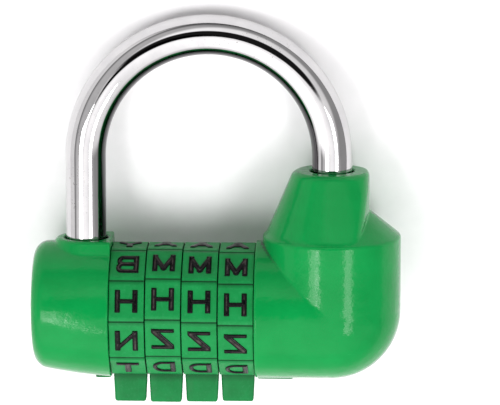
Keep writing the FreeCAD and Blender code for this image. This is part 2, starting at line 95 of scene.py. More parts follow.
# Shapes that no box gives, as the CAD has them
RIDGE_Z = 13.3
ROOF_TOP_R = 6.2
ROOF_TOP_Z = 18.0
NECK_TOP_R = 6.75
NECK_BASE_R = 11.6
NECK_ROOT_DEPTH = 0.3
NECK_SIDE_R = 30.0
NECK_SIDE_X = 6.5
LEG_BORE_R = 3.8
HEEL_BORE_BOTTOM_Z = -9.3
TOE_BORE_BOTTOM_Z = -4.1
TOE_TIP_Z = -3.5
TOE_CHAMFER = 0.8
NOTCH_R = 1.9
NOTCH_DEPTH = 2.4
HEEL_FOOT_TOP_Z = -6.0
HEEL_WAIST_TOP_Z = 13.8
HEEL_WAIST_R = 2.2
CAP_END_R = 10.75
CAP_END_RISE = 0.7
CAP_END_ROUND = 1.9
COLLAR_TOP_R = 5.2
COLLAR_BASE_R = 6.5
COLLAR_BASE_Z = 9.0
INDEX_BAR_HALF_WIDTH = 0.7
INDEX_BAR_PROUD = 0.45
SEAT_R = TUBE_R + SEAT_PLAY
DIAL_FACES = 10
FACE_STEP = 2 * math.pi / DIAL_FACES
DIAL_CORNER_R = 11.8
DIAL_FLAT_R = DIAL_CORNER_R * math.cos(FACE_STEP / 2)
DIAL_BORE_R = 8.6
TAB_HALF_THICKNESS = 1.1
LETTER_HALF = 1.6
LETTER_STROKE = 1.1
LETTER_HEIGHT = 0.25

# Where the detailed meshes differ from the CAD.  The end cap's straight side and flat end bulge
# slightly, and the dials have finer edges and grooves.  The pin holes, the spring's pocket and
# the dials' keyways are left out.
CAP_BULGE = 0.28
CAP_END_DOME = 0.0045
DIAL_SIDE_ROUND = 0.1
CORNER_GROOVE_R = 0.17

# Roundings, fillets and small gaps of the castings
SEAM_FILLET = 0.2
SEAM_FADE = 2.5
NECK_FILLET = 0.22
NECK_ROUND = 0.8
ROOF_ROUND = 0.3
EDGE_ROUND = 0.25
COLLAR_ROUND = 0.5
BAR_FILLET = 0.15
BORE_ROUND = 0.3
SEAT_ROUND = 0.15
SLIGHT_ROUND = 0.1
SEAT_END_GAP = 0.1
BAR_GAP = 0.3
HOUSING_BAR_END = 6.5
CAP_BAR_END = 3.0

# Grid steps of the meshes made from fields
CASTING_STEP = 0.3
LETTER_STEP = 0.11
LETTER_RISE_STEP = 0.07


# ---------------------------------------------------------------- distance fields, in mm
# A field is a function of x, y and z that is below zero inside a shape.

def around_x(y, z, radius):
    return np.hypot(y, z) - radius


def around_z(x, y, centre_x, radius):
    return np.hypot(x - centre_x, y) - radius


def both(a, b, round_mm):
    """Inside both fields, with the edge between them rounded."""
    beyond = np.hypot(np.maximum(a + round_mm, 0), np.maximum(b + round_mm, 0))
    return np.minimum(np.maximum(a, b), -round_mm) + beyond


def either(a, b, fillet_mm):
    """Inside either field, with a fillet in the corner between them."""
    beyond = np.hypot(np.maximum(fillet_mm - a, 0), np.maximum(fillet_mm - b, 0))
    return np.maximum(np.minimum(a, b), fillet_mm) - beyond


def cone_z(radial, z, z0, radius0, z1, radius1):
    """Inside a cone about an upright axis, through two radii."""
    slope = (radius1 - radius0) / (z1 - z0)
    steepness = 1 / math.hypot(1, slope)
    return (radial - radius0 - (z - z0) * slope) * steepness


def leg_bore_field(x, y, z, centre_x, bottom_z):
    return np.maximum(around_z(x, y, centre_x, LEG_BORE_R), bottom_z - z)


def index_bar_field(x, y, z, x0, x1):
    """Low raised bar under the barrel with a rounded end."""
    middle = (x0 + x1) / 2
    half = (x1 - x0) / 2
    across = np.maximum(np.abs(y) - INDEX_BAR_HALF_WIDTH, np.abs(x - middle) - half)
    bar = both(across, -BODY_R - INDEX_BAR_PROUD - z, SEAM_FILLET)
    return both(bar, z + BODY_R - 2 * INDEX_BAR_PROUD, SLIGHT_ROUND)


def housing_field(x, y, z):
    run = np.hypot(np.maximum(x - X_HEEL, 0), z)
    barrel = np.hypot(run, y) - BODY_R
    rise = np.hypot(x - X_HEEL, np.minimum(z, 0))
    upright = np.hypot(rise, y) - BODY_R
    crease = np.clip(np.minimum(X_HEEL - x, z) / SEAM_FADE, 0, 1)
    body = either(barrel, upright, SEAM_FILLET * crease)
    from_heel = np.hypot(x - X_HEEL, y)
    roof = cone_z(from_heel, z, RIDGE_Z, BODY_R, ROOF_TOP_Z, ROOF_TOP_R)
    body = both(body, roof, EDGE_ROUND)
    body = both(body, z - ROOF_TOP_Z, ROOF_ROUND)
    body = both(body, X_STACK_RIGHT - x, EDGE_ROUND)
    neck = cone_z(from_heel, z, RIDGE_Z, NECK_BASE_R, NECK_TOP_Z, NECK_TOP_R)
    side = around_z(x, y, X_HEEL + NECK_SIDE_X - NECK_SIDE_R, NECK_SIDE_R)
    neck = both(neck, side, NECK_ROUND)
    neck = both(neck, z - NECK_TOP_Z, NECK_ROUND)
    neck = both(neck, RIDGE_Z - NECK_ROOT_DEPTH - z, SEAM_FILLET)
    solid = either(body, neck, NECK_FILLET)
    bar = index_bar_field(x, y, z, X_STACK_RIGHT + BAR_GAP, X_STACK_RIGHT + HOUSING_BAR_END)
    solid = either(solid, bar, BAR_FILLET)
    solid = both(solid, -leg_bore_field(x, y, z, X_HEEL, HEEL_BORE_BOTTOM_Z), BORE_ROUND)
    seat = both(around_x(y, z, SEAT_R), x - TUBE_HIGH.x - SEAT_END_GAP, SLIGHT_ROUND)
    solid = both(solid, -seat, SEAT_ROUND)
    washer = np.maximum(around_x(y, z, WASHER_SEAT_R), x - X_STACK_RIGHT - WASHER_SEAT_DEPTH)
    return both(solid, -washer, SLIGHT_ROUND)


def cap_field(x, y, z):
    share = (x - X_STACK_LEFT) / (CAP_LOW.x - X_STACK_LEFT)
    radius = BODY_R + (CAP_END_R - BODY_R) * share + CAP_BULGE * 4 * share * (1 - share)
    shell = np.hypot(y, z - CAP_END_RISE * share) - radius
    dome = CAP_LOW.x - x + CAP_END_DOME * (y ** 2 + (z - CAP_END_RISE) ** 2)
    shell = both(shell, dome, CAP_END_ROUND)
    from_toe = np.where(x > X_TOE, np.abs(y), np.hypot(x - X_TOE, y))
    boss = cone_z(from_toe, z, COLLAR_BASE_Z, COLLAR_BASE_R, COLLAR_TOP_Z, COLLAR_TOP_R)
    boss = both(boss, z - COLLAR_TOP_Z, COLLAR_ROUND)
    boss = np.maximum(boss, COLLAR_BASE_Z - z)
    solid = either(shell, boss, SEAM_FILLET)
    solid = both(solid, x - X_STACK_LEFT, SEAM_FILLET)
    bar = index_bar_field(x, y, z, X_STACK_LEFT - CAP_BAR_END, X_STACK_LEFT - BAR_GAP)
    solid = either(solid, bar, BAR_FILLET)
    solid = both(solid, -leg_bore_field(x, y, z, X_TOE, TOE_BORE_BOTTOM_Z), BORE_ROUND)
    seat = np.maximum(around_x(y, z, SEAT_R), TUBE_LOW.x - SEAT_END_GAP - x)
    solid = both(solid, -seat, SEAT_ROUND)
    washer = np.maximum(around_x(y, z, WASHER_SEAT_R), X_STACK_LEFT - WASHER_SEAT_DEPTH - x)
    return both(solid, -washer, SLIGHT_ROUND)


# ---------------------------------------------------------------- meshes from fields

def crossing(value, axis):
    """Where a field changes sign along each grid line of one direction, and how far along."""
    start = [slice(None)] * 3
    end = [slice(None)] * 3
    start[axis] = slice(0, -1)
    end[axis] = slice(1, None)
    a = value[tuple(start)]
    b = value[tuple(end)]
    changes = (a < 0) != (b < 0)
    share = np.where(changes, a / np.where(changes, a - b, 1), 0)
    return changes, share, a < 0


def cell_points(value):
    """One point in each grid cell that the surface passes through."""
    shape = tuple(n - 1 for n in value.shape)
    total = np.zeros(shape + (3,))
    hits = np.zeros(shape)
    for axis in range(3):
        changes, share, _ = crossing(value, axis)
        u, v = [k for k in range(3) if k != axis]
        for du in (0, 1):
            for dv in (0, 1):
                part = [slice(0, n) for n in shape]
                part[u] = slice(du, du + shape[u])
                part[v] = slice(dv, dv + shape[v])
                here = changes[tuple(part)]
                hits += here
                total[..., axis] += share[tuple(part)]
                total[..., u] += du * here
                total[..., v] += dv * here
    active = hits > 0
    number = np.full(shape, -1)
    number[active] = np.arange(active.sum())
    return np.argwhere(active) + total[active] / hits[active][:, None], number


def cell_faces(value, number):
    """Four-sided faces that join the cells' points, facing out of the shape."""
    quads = []
    for axis in range(3):
        changes, _, inside = crossing(value, axis)
        u, v = (axis + 1) % 3, (axis + 2) % 3
        places = np.argwhere(changes)
        facing_up = inside[changes]
        corners = []
        for du, dv in ((-1, -1), (0, -1), (0, 0), (-1, 0)):
            cell = places.copy()
            cell[:, u] += du
            cell[:, v] += dv
            corners.append(number[tuple(cell.T)])
        quad = np.stack(corners, axis=1)
        quad[~facing_up] = quad[~facing_up][:, ::-1]
        quads.append(quad)
    return np.concatenate(quads)


def gradient(field, points, reach):
    x, y, z = points.T
    return np.stack([
        field(x + reach, y, z) - field(x - reach, y, z),
        field(x, y + reach, z) - field(x, y - reach, z),
        field(x, y, z + reach) - field(x, y, z - reach),
    ], axis=1) / (2 * reach)


def surface(field, low, high, steps):
    """Points, faces and normals of a field's surface inside a box, all in mm."""
    axes = [np.arange(a - 2 * step, b + 3 * step, step) for a, b, step in zip(low, high, steps)]
    reach = min(steps)
    grid = np.meshgrid(*axes, indexing="ij")
    value = field(*grid)
    places, number = cell_points(value)
    faces = cell_faces(value, number)
    points = np.array([a[0] for a in axes]) + places * np.array(steps)
    for _ in range(4):
        slope = gradient(field, points, reach / 8)
        size = np.maximum((slope ** 2).sum(axis=1), 0.2)
        move = slope * (field(*points.T) / size)[:, None]
        length = np.maximum(np.linalg.norm(move, axis=1), 1e-9)
        points -= move * np.minimum(1, reach / 2 / length)[:, None]
    normals = gradient(field, points, reach / 4)
    normals /= np.maximum(np.linalg.norm(normals, axis=1), 1e-9)[:, None]
    return points, faces, normals


# ---------------------------------------------------------------- pieces

def add_object(name, points_mm, faces, normals=None):
    """Object from points in mm about the dial axis, placed in the CAD's frame."""
    mesh = bpy.data.meshes.new(name)
    points = np.asarray(points_mm) * MM + np.array(AXIS)
    mesh.from_pydata(points.tolist(), [], [list(map(int, face)) for face in faces])
    mesh.validate()
    mesh.shade_smooth()
    if normals is not None:
        mesh.normals_split_custom_set_from_vertices(normals.tolist())
    piece = bpy.data.objects.new(name, mesh)
    bpy.context.scene.collection.objects.link(piece)
    return piece


def paint_attribute(piece, name, values):
    """A number from 0 to 1 on each point, for the material to read."""
    attribute = piece.data.attributes.new(name, "FLOAT", "POINT")
    attribute.data.foreach_set("value", np.asarray(values, dtype=np.float32))


def keep(piece, node, body, material):
    """The piece stands for a CAD node, moves with its body and takes its finish."""
    piece.data.materials.clear()
    piece.data.materials.append(material)
    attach(piece, body)
    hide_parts(node)


# ---------------------------------------------------------------- shackle

STATION_GAP = 1.0
TOE_STATIONS = 16
ARCH_STATIONS = 121
HEEL_STATIONS = 6
ROD_EDGE = 0.1
FOOT_CHAMFER = 0.4


def shackle_stations():
    """Centre points, radii and directions along the rod, from the toe's tip to the heel's foot."""
    stations = []

    def leg(x, z, radius, direction):
        stations.append((Vector((x, 0, z)), radius, Vector((0, 0, direction))))

    for share in (0.0, 0.5, 1.0):
        leg(X_TOE, TOE_TIP_Z + TOE_CHAMFER * share, ROD_R - TOE_CHAMFER * (1 - share), 1)
    for z in np.linspace(TOE_TIP_Z + 1.5 * TOE_CHAMFER, ARCH_Z - STATION_GAP, TOE_STATIONS):
        leg(X_TOE, z, ROD_R, 1)
    for angle in np.linspace(math.pi, 0, ARCH_STATIONS):
        centre = Vector((ARCH_R * math.cos(angle), 0, ARCH_Z + ARCH_R * math.sin(angle)))
        stations.append((centre, ROD_R, Vector((math.sin(angle), 0, -math.cos(angle)))))
    for z in np.linspace(ARCH_Z - STATION_GAP, HEEL_WAIST_TOP_Z + STATION_GAP / 2, HEEL_STATIONS):
        leg(X_HEEL, z, ROD_R, -1)
    heel = (
        (HEEL_WAIST_TOP_Z + ROD_EDGE, ROD_R), (HEEL_WAIST_TOP_Z, ROD_R - ROD_EDGE),
        (HEEL_WAIST_TOP_Z, HEEL_WAIST_R + ROD_EDGE), (HEEL_WAIST_TOP_Z - ROD_EDGE, HEEL_WAIST_R),
        (HEEL_FOOT_TOP_Z + ROD_EDGE, HEEL_WAIST_R), (HEEL_FOOT_TOP_Z, HEEL_WAIST_R + ROD_EDGE),
        (HEEL_FOOT_TOP_Z, ROD_R - ROD_EDGE), (HEEL_FOOT_TOP_Z - ROD_EDGE, ROD_R),
        (HEEL_FOOT_Z + FOOT_CHAMFER, ROD_R), (HEEL_FOOT_Z, ROD_R - FOOT_CHAMFER),
    )
    for z, radius in heel:
        leg(X_HEEL, z, radius, -1)
    return stations


def tube_mesh(stations, sides):
    """Closed tube of round sections, joined end to end and capped."""
    points = []
    for centre, radius, direction in stations:
        across = Vector((0, 1, 0))
        out = across.cross(direction)
        for k in range(sides):
            a = 2 * math.pi * k / sides
            points.append(centre + radius * (math.cos(a) * out + math.sin(a) * across))
    faces = []
    for s in range(len(stations) - 1):
        for k in range(sides):
            n = (k + 1) % sides
            faces.append((s * sides + k, s * sides + n, (s + 1) * sides + n, (s + 1) * sides + k))
    faces.append(tuple(reversed(range(sides))))
    last = (len(stations) - 1) * sides
    faces.append(tuple(range(last, last + sides)))
    return points, faces


def cut_away(piece, cutter):
    """Cuts the cutter's shape out of the piece and deletes the cutter."""
    cut = piece.modifiers.new("cut", "BOOLEAN")
    cut.operation = "DIFFERENCE"
    cut.solver = "EXACT"
    cut.object = cutter
    graph = bpy.context.evaluated_depsgraph_get()
    mesh = bpy.data.meshes.new_from_object(piece.evaluated_get(graph))
    piece.modifiers.clear()
    piece.data = mesh
    bpy.data.objects.remove(cutter)


def build_shackle(material):
    """Bent rod with the toe's round notch cut across it, and how far inside the arch each point is."""
    points, faces = tube_mesh(shackle_stations(), 96)
    rod = add_object("shackle_rod", points, faces)
    notch_start = Vector((X_TOE + ROD_R - NOTCH_DEPTH, 0, 0))
    notch_end = Vector((X_TOE + 2 * ROD_R, 0, 0))
    along = Vector((1, 0, 0))
    points, faces = tube_mesh([(notch_start, NOTCH_R, along), (notch_end, NOTCH_R, along)], 48)
    cut_away(rod, add_object("notch", points, faces))
    rod.data.shade_smooth()
    rod.data.set_sharp_from_angle(angle=math.radians(40))
    # How far inside the arch each point is, which the chrome reads for a painted dark reflection along the inside
    # of the bow
    inward = []
    for vertex in rod.data.vertices:
        x, _, z = (vertex.co - AXIS) / MM
        from_centre = math.hypot(x, z - ARCH_Z) if z > ARCH_Z else abs(x)
        inward.append(max(0, (ARCH_R - from_centre) / ROD_R))
    paint_attribute(rod, "inside", inward)
    keep(rod, "shackle", "shackle", material)


# ---------------------------------------------------------------- housing and end cap

# How far off the surface a casting is felt for corners and edges
FEELER = 0.5
TOUCHING = 0.05
# Painted shade laid on the underside of the index bars
BAR_SHADE = 0.2


def build_casting(name, node, field, low, high, bore, material):
    """Shell of a casting, with painted shade in its corners, down its leg bore and under its index bar, and
    lighter edges that are partly wear and partly painted highlight.
    """
    points, faces, normals = surface(field, low, high, (CASTING_STEP,) * 3)
    piece = add_object(name, points, faces, normals)
    outward = field(*(points + FEELER * normals).T) / FEELER
    inward = -field(*(points - FEELER * normals).T) / FEELER
    x, y, z = points.T
    bore_x, bottom_z = bore
    depth = (high.z - z) / (2 * FEELER)
    inside = (around_z(x, y, bore_x, LEG_BORE_R) < TOUCHING) & (z > bottom_z - TOUCHING)
    shade_in_bore = np.where(inside, np.clip(depth, 0, 1), 0)
    shade_under_bar = np.where(z < -BODY_R - 2 * TOUCHING, BAR_SHADE, 0)
    # Painted shade: darker in concave corners, deeper down the leg bore, and on the index bar's underside
    shade_and_grime = np.maximum(np.clip(1 - outward, 0, 1), np.maximum(shade_in_bore, shade_under_bar))
    paint_attribute(piece, "shade_and_grime", shade_and_grime)
    # Lighter convex edges: partly wear, partly a painted highlight
    paint_attribute(piece, "wear_and_sheen", np.clip(1 - inward, 0, 1))
    keep(piece, node, "housing", material)


# ---------------------------------------------------------------- dials

# Each corner has a groove with a soft sunk lip on either side.  Painted shade is 0 to 1: it darkens the grooves,
# both edges of each facet (most in the band just under the groove above it, as the front facets stand), the
# rounded sides between the dials, the bore and the tab's root, and the whole tab a little.
GROOVE_STEPS = 6
LIP_WIDTH = 0.95
LIP_DEPTH = 0.22
GROOVE_SHADE = 0.8
SIDE_SHADE = 0.9
BORE_SHADE = 0.6
BORE_CHAMFER = 0.1
TAB_ACROSS = (-TAB_HALF_THICKNESS, -0.9, -0.75, 0.0, 0.75, 0.9, TAB_HALF_THICKNESS)
TAB_FACE = 7
TAB_MARGIN = 0.08
TAB_ROUND = 0.45
TAB_TAPER = 0.085
# Painted shade where the tab grows out of the dial
TAB_ROOT_SHADE = 0.7
# The whole tab is painted a little darker
TAB_DARKENING = 0.28
TAB_LEVELS = (-DIAL_FLAT_R - 0.35, -13.0, -14.5, TAB_END_Z + TAB_ROUND, TAB_END_Z + 0.15, TAB_END_Z)
# Dials 2 and 4 sit a little off their clicks, one turned up at the front and one down
DIAL_PLAY = (0.0, math.radians(2.1), 0.0, math.radians(-2.3))


def dial_outline():
    """Points (y, z) round a dial with a groove along each corner, and how much painted shade each takes."""
    half_flat = DIAL_CORNER_R * math.sin(FACE_STEP / 2) - CORNER_GROOVE_R
    edge = [half_flat - LIP_WIDTH * share for share in (0, 0.1, 0.25, 0.4, 0.6, 0.8, 1.0)]
    along = [-s for s in edge] + list(TAB_ACROSS) + list(reversed(edge))
    last = len(along) - 1
    # Painted shade along each facet's two edges, heaviest in the band just under the groove above it
    shade_under_groove = {last - 4: 0.12, last - 3: 0.22, last - 2: 0.3, last - 1: 0.38, last: 0.6}
    lip_shade = {0: 0.6, 1: 0.15} | shade_under_groove
    opening = math.pi / 2 - FACE_STEP / 2
    outline = []
    for face in range(DIAL_FACES):
        middle = (face + 0.5) * FACE_STEP
        out = np.array((-math.cos(middle), math.sin(middle)))
        side = np.array((math.sin(middle), math.cos(middle)))
        for k, s in enumerate(along):
            sunk = LIP_DEPTH * max(0, 1 - (half_flat - abs(s)) / LIP_WIDTH) ** 2
            outline.append((out * (DIAL_FLAT_R - sunk) + side * s, lip_shade.get(k, 0.0)))
        corner = middle + FACE_STEP / 2
        out = np.array((-math.cos(corner), math.sin(corner)))
        side = np.array((math.sin(corner), math.cos(corner)))
        for k in range(1, GROOVE_STEPS):
            a = opening * (2 * k / GROOVE_STEPS - 1)
            depth = CORNER_GROOVE_R * math.cos(a)
            across = side * CORNER_GROOVE_R * math.sin(a)
            # The groove's points take painted shade
            outline.append((out * (DIAL_CORNER_R - LIP_DEPTH - depth) + across, GROOVE_SHADE))
    return outline, len(along)


def tab_places():
    """Places across a tab, closer together where its edges are rounded."""
    near = (0.0, 0.2, TAB_ROUND)
    low = TAB_MARGIN
    high = DIAL_WIDTH - TAB_MARGIN
    middle = np.linspace(low + TAB_ROUND, high - TAB_ROUND, 5)[1:-1]
    return [low + d for d in near] + list(middle) + [high - d for d in reversed(near)]


def tab_point(x, y, z):
    """Point of the tab's rounded box from a point on its square-edged box."""
    share = (-DIAL_FLAT_R - z) / (-DIAL_FLAT_R - TAB_END_Z)
    centre = DIAL_WIDTH / 2
    half = centre - TAB_MARGIN
    core = np.array((
        np.clip(x, centre - half + TAB_ROUND, centre + half - TAB_ROUND),
        np.clip(y, -TAB_HALF_THICKNESS + TAB_ROUND, TAB_HALF_THICKNESS - TAB_ROUND),
        max(z, TAB_END_Z + TAB_ROUND),
    ))
    from_core = np.array((x, y, z)) - core
    place = core + from_core * (TAB_ROUND / np.linalg.norm(from_core))
    place[0] = centre + (place[0] - centre) * (1 - TAB_TAPER * share)
    return place


def side_rounding():
    """Points of a side's rounded edge, as distances in from the side and down from the flats."""
    angles = np.linspace(0, math.pi / 2, 5)
    return [(DIAL_SIDE_ROUND * (1 - math.cos(a)), DIAL_SIDE_ROUND * (1 - math.sin(a))) for a in angles]


def ring_faces(rings, count, tab_rings, tab_points):
    """Faces of a skin of closed rings, open where the tab grows out of it."""
    faces = []
    for s in range(rings):
        n = (s + 1) % rings
        for k in range(count):
            if not (s in tab_rings and k in tab_points):
                m = (k + 1) % count
                faces.append((s * count + k, s * count + m, n * count + m, n * count + k))
    return faces


def add_tab(points, faces, shade_and_grime, root, xs, ys):
    """Carries the tab down from its root, the grid of the dial's points that it grows out of."""
    number = {(i, j, 0): point for i, row in enumerate(root) for j, point in enumerate(row)}
    last = len(TAB_LEVELS)
    end_i = len(xs) - 1
    end_j = len(ys) - 1
    for level, z in enumerate(TAB_LEVELS, start=1):
        for i, x in enumerate(xs):
            for j, y in enumerate(ys):
                if level == last or i in (0, end_i) or j in (0, end_j):
                    number[i, j, level] = len(points)
                    points.append(tab_point(x, y, z))
                    # Painted shade at the tab's root; below it the tab is painted a little darker all over
                    shade_and_grime.append(TAB_ROOT_SHADE if level == 1 else TAB_DARKENING)
    rim = [(i, 0) for i in range(end_i)] + [(end_i, j) for j in range(end_j)]
    rim += [(i, end_j) for i in range(end_i, 0, -1)] + [(0, j) for j in range(end_j, 0, -1)]
    for level in range(last):
        for (i, j), (p, q) in zip(rim, rim[1:] + rim[:1]):
            places = (i, j, level), (p, q, level), (p, q, level + 1), (i, j, level + 1)
            faces.append(tuple(number[place] for place in places))
    for i in range(end_i):
        for j in range(end_j):
            places = (i, j, last), (i + 1, j, last), (i + 1, j + 1, last), (i, j + 1, last)
            faces.append(tuple(number[place] for place in places))


def dial_mesh():
    """Points, faces and painted shade of one dial, from its left side at X = 0."""
    outline, flat_count = dial_outline()
    xs = tab_places()
    rounding = side_rounding()
    outer = rounding + [(x, 0.0) for x in xs] + [(DIAL_WIDTH - x, inset) for x, inset in reversed(rounding)]
    flared = DIAL_BORE_R + BORE_CHAMFER
    bore = [
        (DIAL_WIDTH, flared), (DIAL_WIDTH - BORE_CHAMFER, DIAL_BORE_R),
        (BORE_CHAMFER, DIAL_BORE_R), (0.0, flared),
    ]
    points = []
    shade_and_grime = []
    for x, inset in outer:
        # Painted shade on the rounded side edges, where the dials meet
        side_edge_shade = SIDE_SHADE * inset / DIAL_SIDE_ROUND
        for (y, z), shade_share in outline:
            shrink = 1 - inset / math.hypot(y, z)
            points.append((x, y * shrink, z * shrink))
            shade_and_grime.append(max(shade_share, side_edge_shade))
    for x, radius in bore:
        for (y, z), _ in outline:
            shrink = radius / math.hypot(y, z)
            points.append((x, y * shrink, z * shrink))
            # The bore takes painted shade
            shade_and_grime.append(BORE_SHADE)
    count = len(outline)
    rings = len(outer) + len(bore)
    tab_start = TAB_FACE * (flat_count + GROOVE_STEPS - 1) + (flat_count - len(TAB_ACROSS)) // 2
    first_ring = len(rounding)
    tab_rings = range(first_ring, first_ring + len(xs) - 1)
    tab_points = range(tab_start, tab_start + len(TAB_ACROSS) - 1)
    faces = ring_faces(rings, count, tab_rings, tab_points)
    across = range(tab_start, tab_start + len(TAB_ACROSS))
    root = [[(first_ring + i) * count + k for k in across] for i in range(len(xs))]
    ys = [outline[k][0][0] for k in across]
    add_tab(points, faces, shade_and_grime, root, xs, ys)
    return np.array(points), faces, shade_and_grime


def turned(points, angle):
    """Points turned about the dial axis, upwards at the front."""
    x, y, z = np.asarray(points).T
    c, s = math.cos(angle), math.sin(angle)
    return np.stack((x, y * c + z * s, z * c - y * s), axis=1)


def build_dials(material):
    points, faces, shade_and_grime = dial_mesh()
    for number, play in zip(DIAL_NUMBERS, DIAL_PLAY):
        left = box_mm(f"dial_{number}")[0].x
        piece = add_object(f"dial_{number}_ring", turned(points, play) + np.array((left, 0, 0)), faces)
        shape = bmesh.new()
        shape.from_mesh(piece.data)
        bmesh.ops.recalc_face_normals(shape, faces=shape.faces)
        shape.to_mesh(piece.data)
        shape.free()
        piece.data.shade_smooth()
        piece.data.set_sharp_from_angle(angle=math.radians(32))
        paint_attribute(piece, "shade_and_grime", shade_and_grime)
        keep(piece, f"dial_{number}", f"dial_{number}", material)


# ---------------------------------------------------------------- letters

# Widths of the strokes that are slimmer than a stem.  Bowls and diagonals are bolder here than
# in the CAD, where they are as wide as bars.
LETTER_BAR = 0.76
LETTER_BOWL = 0.86
LETTER_DIAGONAL = 0.9


# A letter is a list of strokes.  A stroke is its width and its points (right, up) in a box
# from -1 to 1; a third number on a point marks a half-round arc, bulging right, that leads to it.
def bar(*points):
    return (LETTER_BAR, points)


def stem(*points):
    return (LETTER_STROKE, points)


def bowl(*points):
    return (LETTER_BOWL, points)


def diagonal(*points):
    return (LETTER_DIAGONAL, points)


LETTERS = {
    "A": [stem((-1, -1), (0, 1)), stem((0, 1), (1, -1)), bar((-0.6, -0.3), (0.6, -0.3))],
    "B": [stem((-1, -1), (-1, 1)), bowl((-1, 1), (0.4, 1), (0.4, 0.05, 0.475), (-1, 0.05)),
          bowl((-1, 0.05), (0.45, 0.05), (0.45, -1, 0.525), (-1, -1))],
    "D": [stem((-1, -1), (-1, 1)), bar((-1, 1), (0.0, 1), (0.0, -1, 1.0), (-1, -1))],
    "E": [stem((-1, -1), (-1, 1)), bar((-1, 1), (1, 1)), bar((-1, 0), (0.6, 0)), bar((-1, -1), (1, -1))],
    "F": [stem((-1, -1), (-1, 1)), bar((-1, 1), (1, 1)), bar((-1, 0), (0.6, 0))],
    "H": [stem((-1, -1), (-1, 1)), stem((1, -1), (1, 1)), bar((-1, 0), (1, 0))],
    "K": [stem((-1, -1), (-1, 1)), stem((1, 1), (-1, -0.2)), stem((-0.3, 0.2), (1, -1))],
    "L": [stem((-1, 1), (-1, -1)), stem((-1, -1), (1, -1))],
    "M": [stem((-1, -1), (-1, 1)), diagonal((-1, 1), (0, -0.8)), diagonal((0, -0.8), (1, 1)),
          stem((1, 1), (1, -1))],
    "N": [stem((-1, -1), (-1, 1)), bar((-1, 1), (1, -1)), stem((1, -1), (1, 1))],
    "T": [stem((-1, 1), (1, 1)), stem((0, 1), (0, -1))],
    "V": [stem((-1, 1), (0, -1)), stem((0, -1), (1, 1))],
    "X": [stem((-1, -1), (1, 1)), stem((-1, 1), (1, -1))],
    "Y": [stem((-1, 1), (0, 0)), stem((1, 1), (0, 0)), stem((0, 0), (0, -1))],
    "Z": [bar((-1, 1), (1, 1)), stem((1, 1), (-1, -1)), bar((-1, -1), (1, -1))],
}

# Letters of each dial, face by face, going down from the top face, past the front and the
# tab at the bottom (a dash) and up the back.
DIAL_LETTERS = ("YBHNT-KELF", "AMHZD-VXKE", "AMHZD-LEVF", "AMHZD-XFKL")
LETTER_FRAME = LETTER_HALF + 0.38
LETTER_SINK = 0.05
NEAR_FRAME = 0.9
FRAME_OVERRUN = 0.3
FRAME_ROUND = 0.12
STROKE_ROUND = 0.15
TOP_ROUND = 0.1
CROWN_WIDTH = 0.45
CROWN_DROP = 0.12
# The tops are lighter along the middle of each stroke, this far in from its edge: partly rubbed wear and partly a
# painted highlight on the rounded top
RUB_SHEEN_START = 0.28
RUB_SHEEN_FADE = 0.14
FAR = 9.0


def line_distance(u, v, start, end, width, bent):
    """Distance to a straight stroke, its ends round if it is bent and else square.

    Square ends at the letter's frame run past it, for the frame to trim them."""
    a = np.array(start[:2]) * LETTER_HALF
    b = np.array(end[:2]) * LETTER_HALF
    length = np.linalg.norm(b - a)
    along = (b - a) / length
    s = (u - a[0]) * along[0] + (v - a[1]) * along[1]
    t = (u - a[0]) * -along[1] + (v - a[1]) * along[0]
    if bent:
        return np.hypot(s - np.clip(s, 0, length), t) - width / 2
    reach = []
    for point in (start, end):
        at_frame = max(abs(point[0]), abs(point[1])) >= NEAR_FRAME
        reach.append(width / 2 + (FRAME_OVERRUN if at_frame else 0.0))
    past_end = np.maximum(-reach[0] - s, s - length - reach[1])
    return both(past_end, np.abs(t) - width / 2, STROKE_ROUND)


def arc_distance(u, v, start, end, width):
    """Distance to a stroke along a half circle that bulges to the right."""
    centre_u = start[0] * LETTER_HALF
    centre_v = (start[1] + end[1]) / 2 * LETTER_HALF
    radius = abs(start[1] - end[1]) / 2 * LETTER_HALF
    around = np.abs(np.hypot(u - centre_u, v - centre_v) - radius) - width / 2
    return np.where(u >= centre_u, around, FAR)


def letter_distance(name, u, v):
    near = np.full(np.shape(u), FAR)
    for width, path in LETTERS[name]:
        bent = len(path) > 2
        for start, end in zip(path, path[1:]):
            if len(end) == 3:
                near = np.minimum(near, arc_distance(u, v, start, end, width))
            else:
                near = np.minimum(near, line_distance(u, v, start, end, width, bent))
    frame_edge = np.maximum(np.abs(u), np.abs(v)) - LETTER_FRAME
    return both(near, frame_edge, FRAME_ROUND)


def letter_field(name):
    def field(u, v, h):
        near = letter_distance(name, u, v)
        rim = np.clip(1 + near / CROWN_WIDTH, 0, 1)
        top = LETTER_HEIGHT - CROWN_DROP * rim ** 2
        return np.maximum(both(near, h - top, TOP_ROUND), -LETTER_SINK - h)
    return field


